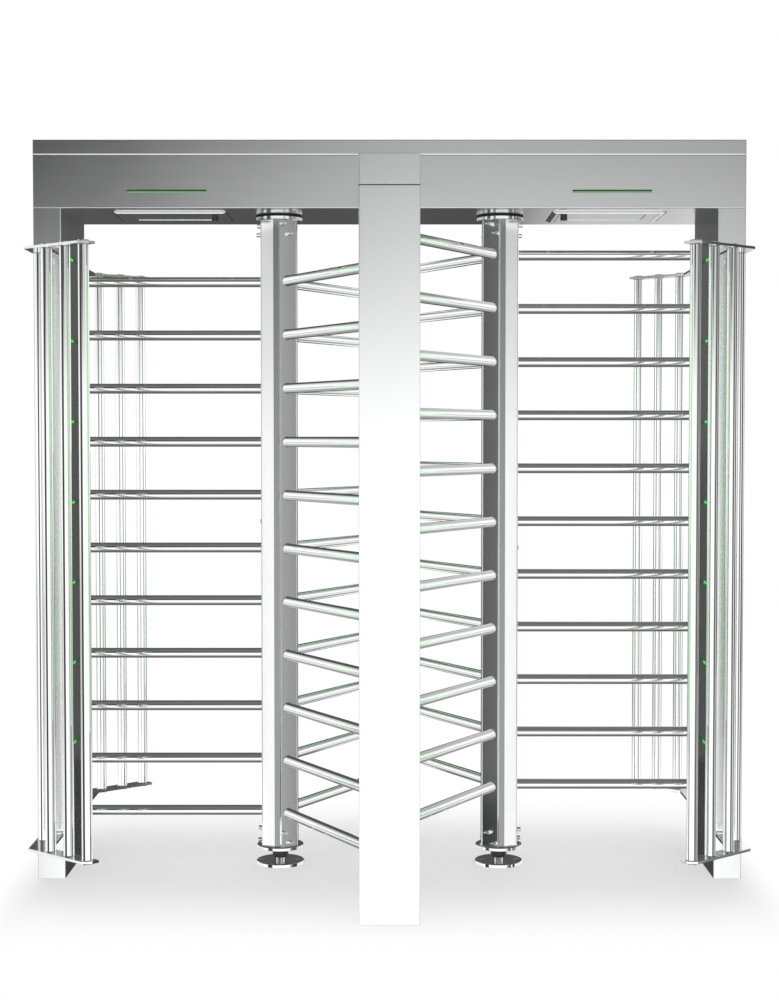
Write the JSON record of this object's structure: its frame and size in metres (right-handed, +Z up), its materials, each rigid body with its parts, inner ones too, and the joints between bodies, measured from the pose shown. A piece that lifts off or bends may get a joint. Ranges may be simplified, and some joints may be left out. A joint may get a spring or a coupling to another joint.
{
  "type": "full height turnstile",
  "caption": "Double full height turnstile: two side columns and a beam, paired three-wing rotors with interleaved arms, guard racks and a lock mechanism in the beam.",
  "frame": {"origin": "on the floor, midway between the two side columns and midway between the front and rear centre columns", "axes": "+Z up, +Y from the pictured front towards the rear, +X to the right as seen from the front"},
  "size_m": [2.3, 1.506, 2.4],
  "materials": {
    "sheet_steel": "satin brushed stainless sheet",
    "post_steel": "satin folded stainless sheet",
    "polished_tube": "polished stainless tube",
    "machined_steel": "turned and milled",
    "chrome_pivot": "ground and polished",
    "screw_steel": "bright",
    "green_light": "translucent green",
    "black_plastic": "matt black",
    "box_plastic": "matt grey",
    "coil_block": "dark varnished"
  },
  "bodies": {
    "frame": {"beam_body": "sheet_steel", "beam_lid": "sheet_steel", "center_column_front": "sheet_steel", "center_column_rear": "sheet_steel", "center_lights": "green_light", "control_unit": "box_plastic", "cross_arm_front": "sheet_steel", "cross_arm_rear": "sheet_steel", "display_bars": "green_light", "floor_pivot_screws": "screw_steel", "guard_brackets": "sheet_steel", "guard_plates_front_left": "sheet_steel", "guard_plates_front_right": "sheet_steel", "guard_plates_rear_left": "sheet_steel", "guard_plates_rear_right": "sheet_steel", "guard_screws": "screw_steel", "guard_tubes_front_left": "polished_tube", "guard_tubes_front_right": "polished_tube", "guard_tubes_rear_left": "polished_tube", "guard_tubes_rear_right": "polished_tube", "left_bearing_housing": "machined_steel", "left_carrier_plate": "machined_steel", "left_rotor_floor_pivot": "chrome_pivot", "left_service_cover": "sheet_steel", "lock_magnets": "coil_block", "pawl_pins": "machined_steel", "pawl_springs": "machined_steel", "right_bearing_housing": "machined_steel", "right_carrier_plate": "machined_steel", "right_rotor_floor_pivot": "chrome_pivot", "right_service_cover": "sheet_steel", "side_column_left": "sheet_steel", "side_column_right": "sheet_steel", "side_lights_left": "green_light", "side_lights_right": "green_light", "top_bearings": "machined_steel"},
    "left_rotor": {"left_rotor_bottom_flange": "machined_steel", "left_rotor_drive_shaft": "machined_steel", "left_rotor_lock_wheel": "machined_steel", "left_rotor_post": "post_steel", "left_rotor_post_bolts": "screw_steel", "left_rotor_post_plug": "black_plastic", "left_rotor_wing_front": "polished_tube", "left_rotor_wing_outer": "polished_tube", "left_rotor_wing_rear": "polished_tube"},
    "right_rotor": {"right_rotor_bottom_flange": "machined_steel", "right_rotor_drive_shaft": "machined_steel", "right_rotor_lock_wheel": "machined_steel", "right_rotor_post": "post_steel", "right_rotor_post_bolts": "screw_steel", "right_rotor_post_plug": "black_plastic", "right_rotor_wing_front": "polished_tube", "right_rotor_wing_outer": "polished_tube", "right_rotor_wing_rear": "polished_tube"},
    "left_front_pawl": {"left_pawl_front": "machined_steel"},
    "left_rear_pawl": {"left_pawl_rear": "machined_steel"},
    "left_lock": {"left_cover_lock": "black_plastic"},
    "right_front_pawl": {"right_pawl_front": "machined_steel"},
    "right_rear_pawl": {"right_pawl_rear": "machined_steel"},
    "right_lock": {"right_cover_lock": "black_plastic"}
  },
  "joints": [
    {"name": "left_rotor_spin", "type": "hinge", "parent": "frame", "child": "left_rotor", "pos_m": [-0.37, 0, 0], "axis": [0, 0, 1], "continuous": true},
    {"name": "right_rotor_spin", "type": "hinge", "parent": "frame", "child": "right_rotor", "pos_m": [0.37, 0, 0], "axis": [0, 0, 1], "continuous": true},
    {"name": "left_front_pawl_swing", "type": "hinge", "parent": "frame", "child": "left_front_pawl", "pos_m": [-0.29, -0.1, 2.246], "axis": [0, 0, -1], "range_deg": [0, 6.4], "stiffness_Nm_per_rad": 0.3, "springref_deg": -5.73},
    {"name": "left_rear_pawl_swing", "type": "hinge", "parent": "frame", "child": "left_rear_pawl", "pos_m": [-0.29, 0.1, 2.246], "axis": [0, 0, 1], "range_deg": [0, 6.4], "stiffness_Nm_per_rad": 0.3, "springref_deg": -5.73},
    {"name": "right_front_pawl_swing", "type": "hinge", "parent": "frame", "child": "right_front_pawl", "pos_m": [0.29, -0.1, 2.246], "axis": [0, 0, 1], "range_deg": [0, 6.4], "stiffness_Nm_per_rad": 0.3, "springref_deg": -5.73},
    {"name": "right_rear_pawl_swing", "type": "hinge", "parent": "frame", "child": "right_rear_pawl", "pos_m": [0.29, 0.1, 2.246], "axis": [0, 0, -1], "range_deg": [0, 6.4], "stiffness_Nm_per_rad": 0.3, "springref_deg": -5.73},
    {"name": "left_lock_turn", "type": "hinge", "parent": "frame", "child": "left_lock", "pos_m": [-0.579, -0.045, 2.18], "axis": [0, 0, 1], "range_deg": [0, 90]},
    {"name": "right_lock_turn", "type": "hinge", "parent": "frame", "child": "right_lock", "pos_m": [0.579, -0.045, 2.18], "axis": [0, 0, -1], "range_deg": [0, 90]}
  ]
}
